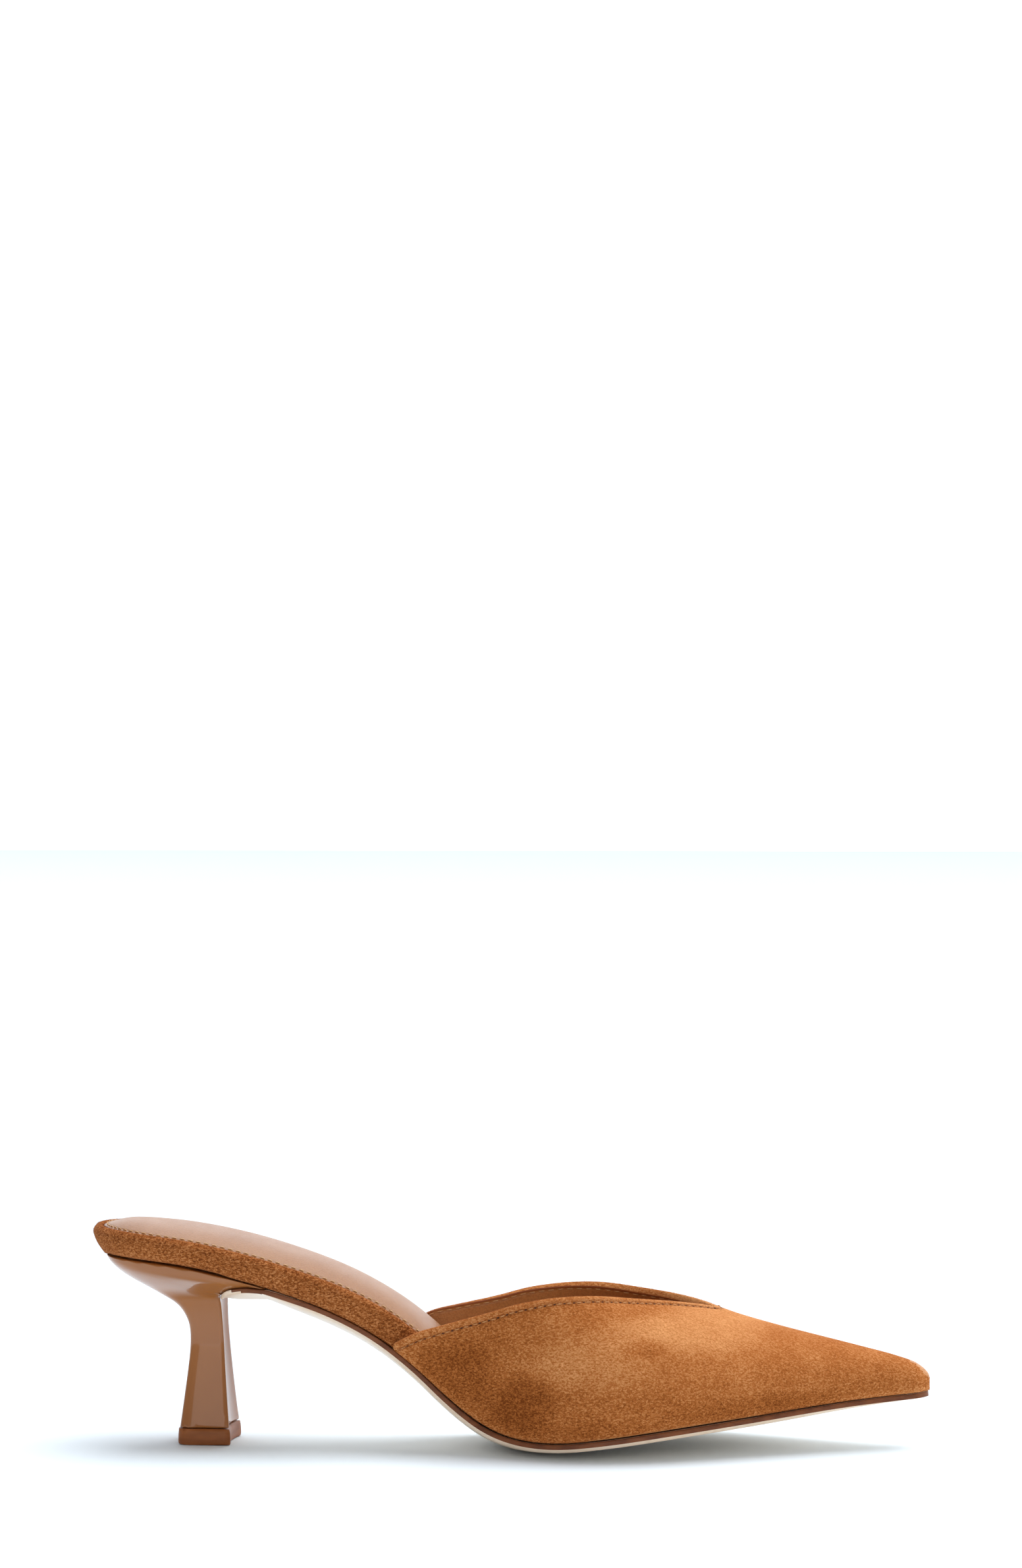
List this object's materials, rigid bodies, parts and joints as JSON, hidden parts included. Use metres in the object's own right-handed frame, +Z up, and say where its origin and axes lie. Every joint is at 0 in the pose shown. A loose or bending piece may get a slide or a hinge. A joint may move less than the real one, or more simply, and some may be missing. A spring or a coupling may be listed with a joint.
{
  "type": "mule pump",
  "caption": "Backless pointed suede pump on a flared mid heel: V-throat vamp, suede-wrapped platform, padded leather sock, thin outsole and rubber top piece.",
  "frame": {"origin": "centre of the shoe's box on the floor it stands on", "axes": "+X towards the toe, +Y towards the inner side of the foot, +Z up"},
  "size_m": [0.2518, 0.075, 0.067],
  "materials": {
    "suede": "napped",
    "suede_dark": "napped",
    "sock_leather": "satin",
    "sole_resin": "satin",
    "heel_lacquer": "gloss",
    "tip_rubber": "satin"
  },
  "bodies": {
    "root": {"upper": "suede", "platform": "suede_dark", "sock": "sock_leather", "outsole": "sole_resin", "heel": "heel_lacquer", "top_piece": "tip_rubber"}
  },
  "joints": []
}
